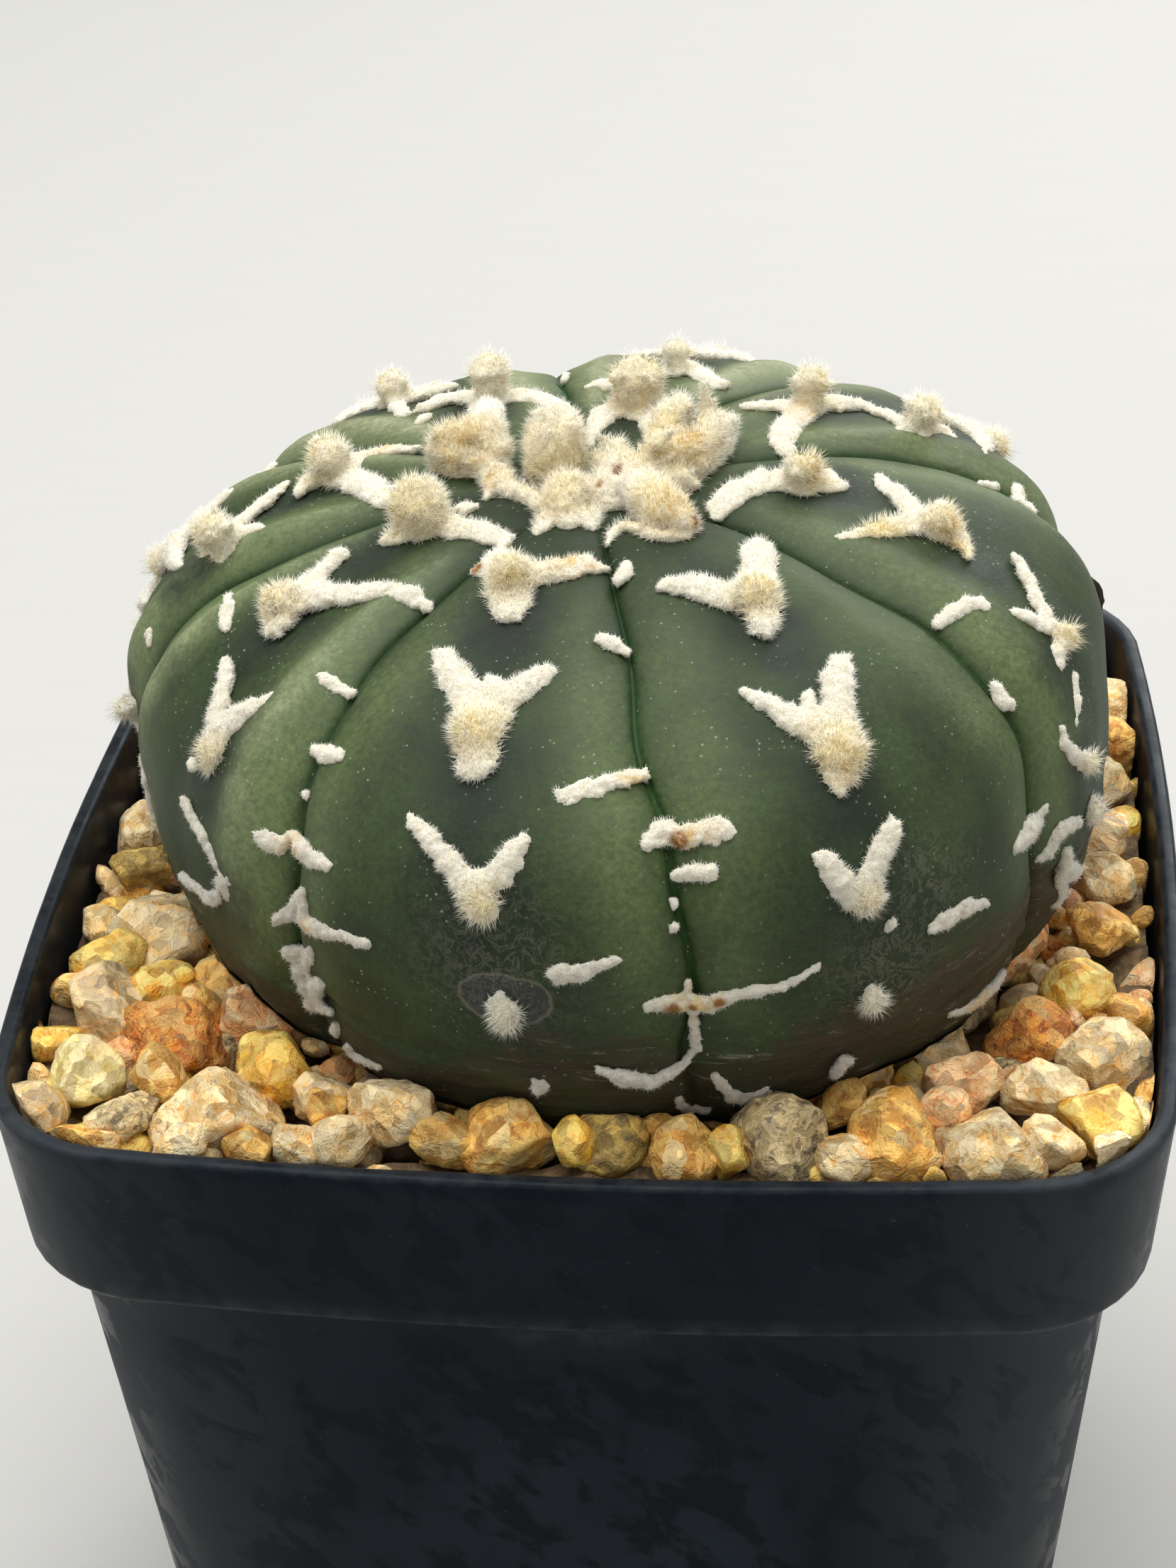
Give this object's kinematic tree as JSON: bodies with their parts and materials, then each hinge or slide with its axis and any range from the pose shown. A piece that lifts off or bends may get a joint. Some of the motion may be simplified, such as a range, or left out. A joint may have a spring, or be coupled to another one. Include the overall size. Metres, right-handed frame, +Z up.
{
  "type": "potted v-type star cactus",
  "caption": "Low round ribbed cactus with white V-shaped woolly flecks, in a square tapered black pot dressed with coarse gravel.",
  "frame": {"origin": "centre of the flat base of the pot, on the surface it stands on", "axes": "+Z up, -Y towards the front that the picture shows, +X to the right"},
  "size_m": [0.0786, 0.0786, 0.1045],
  "materials": {
    "pot_plastic": "satin black moulded plastic with dull scuffs",
    "soil": "dark crumbly potting mix",
    "gravel_stone": "rough ochre, cream and grey quartz and granite",
    "bark": "dark brown weathered bark",
    "cactus_skin": "waxy grey-green skin with white dusty specks",
    "wool": "dense matt cream wool"
  },
  "bodies": {
    "root": {"pot": "pot_plastic", "soil": "soil", "gravel": "gravel_stone", "bark_chip": "bark", "cactus": "cactus_skin", "crown_wool": "wool"}
  },
  "joints": []
}
